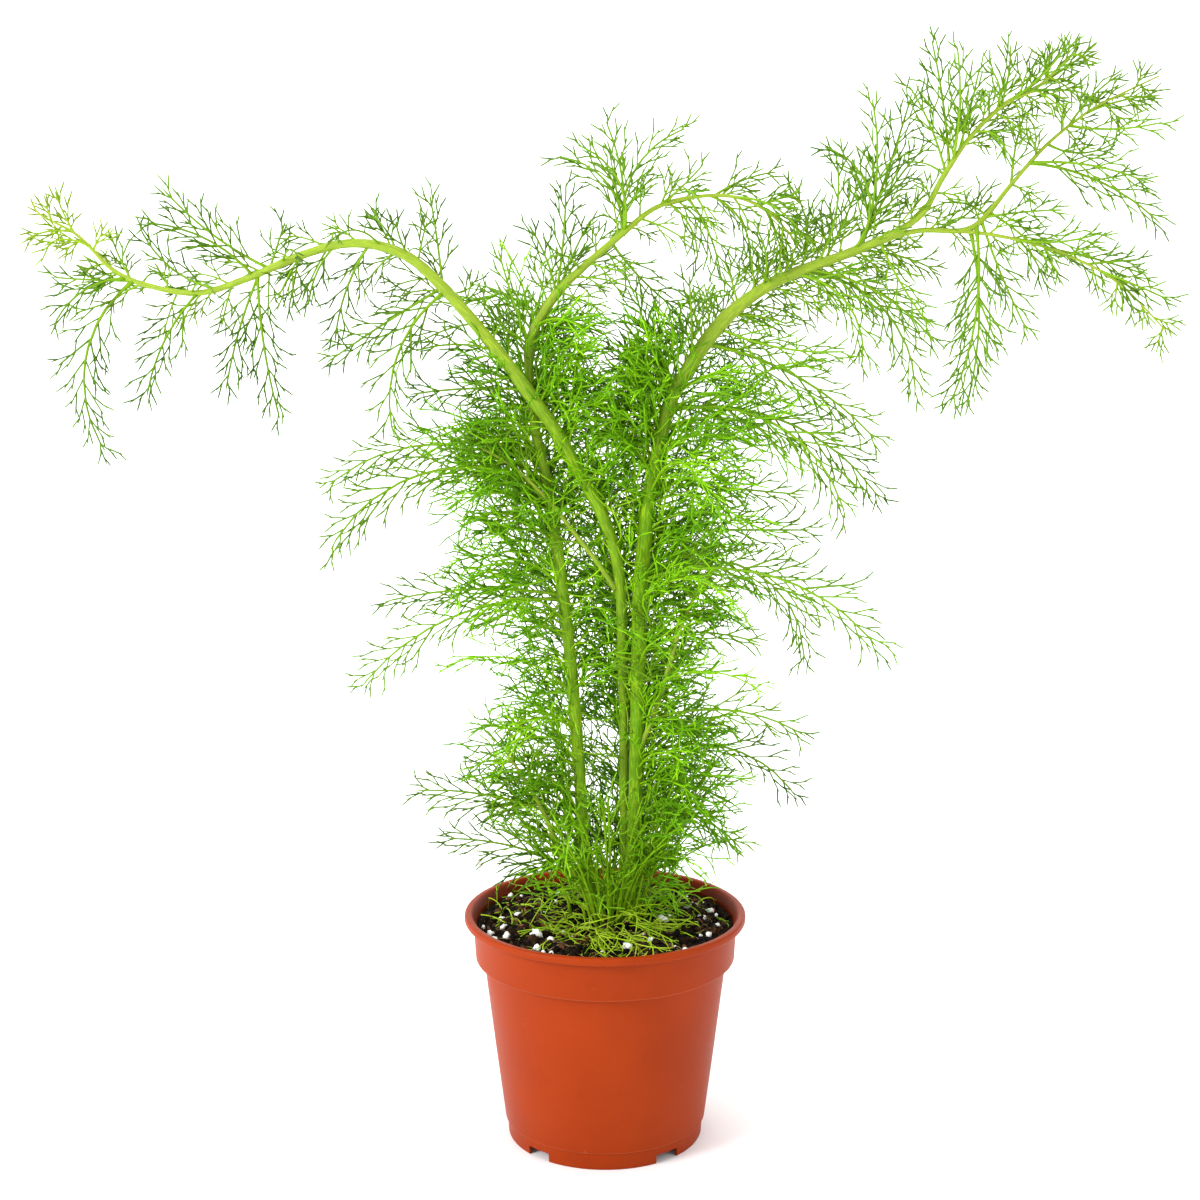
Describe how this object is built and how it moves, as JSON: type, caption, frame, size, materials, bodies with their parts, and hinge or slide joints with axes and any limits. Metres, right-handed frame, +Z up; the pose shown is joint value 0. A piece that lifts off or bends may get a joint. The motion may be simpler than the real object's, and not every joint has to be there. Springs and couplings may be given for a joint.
{
  "type": "potted dill",
  "caption": "Feathery potted herb: arching green stems with needle-fine fronds rise from a round tapered plastic nursery pot filled with soil.",
  "frame": {"origin": "middle of the underside of the pot, on the surface that the pot stands on", "axes": "+Z up along the pot's axis, +X towards the forked arm, -Y towards the viewer"},
  "size_m": [0.504, 0.1621, 0.5018],
  "materials": {
    "pot": "satin terracotta-coloured moulded plastic",
    "soil": "loose dark potting mix with white perlite grains and bark",
    "dill": "fresh green leaf threads on yellow-green stems",
    "basal": "pale yellow-green young leaf threads"
  },
  "bodies": {
    "root": {"pot": "pot", "soil": "soil", "dill_left": "dill", "dill_middle": "dill", "dill_right": "dill", "basal_1": "basal", "basal_2": "basal", "basal_3": "basal", "basal_4": "basal", "basal_5": "basal", "basal_6": "basal", "basal_7": "basal", "basal_8": "basal"}
  },
  "joints": []
}
